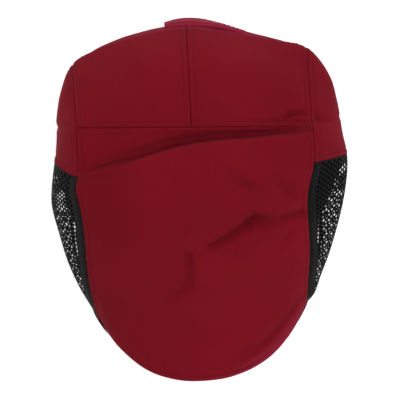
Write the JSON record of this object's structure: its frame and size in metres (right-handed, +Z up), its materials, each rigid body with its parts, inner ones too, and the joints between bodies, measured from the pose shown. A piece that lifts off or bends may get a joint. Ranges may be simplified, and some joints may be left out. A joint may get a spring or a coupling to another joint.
{
  "type": "chef's flat cap with mesh sides",
  "caption": "Soft cloth flat cap of kitchen staff: two back panels, a tongue-shaped top over a stiff visor, and open mesh sides.",
  "frame": {"origin": "centre of the head opening, at the level that the rim rests on", "axes": "+Z up, the visor points to -Y, the wearer's right side is -X"},
  "size_m": [0.2086, 0.2562, 0.0844],
  "materials": {
    "twill": "matte cotton twill with a faint pink sheen at grazing angles",
    "net": "black knitted sports mesh with round open holes",
    "visor_cloth": "matte twill stretched over a stiff board",
    "band_cloth": "matte folded twill tape"
  },
  "bodies": {
    "root": {"top_panel": "twill", "back_panel_left": "twill", "back_panel_right": "twill", "side_band_left": "twill", "side_band_right": "twill", "mesh_left": "net", "mesh_right": "net", "visor": "visor_cloth", "headband": "band_cloth", "back_strap": "band_cloth"}
  },
  "joints": []
}
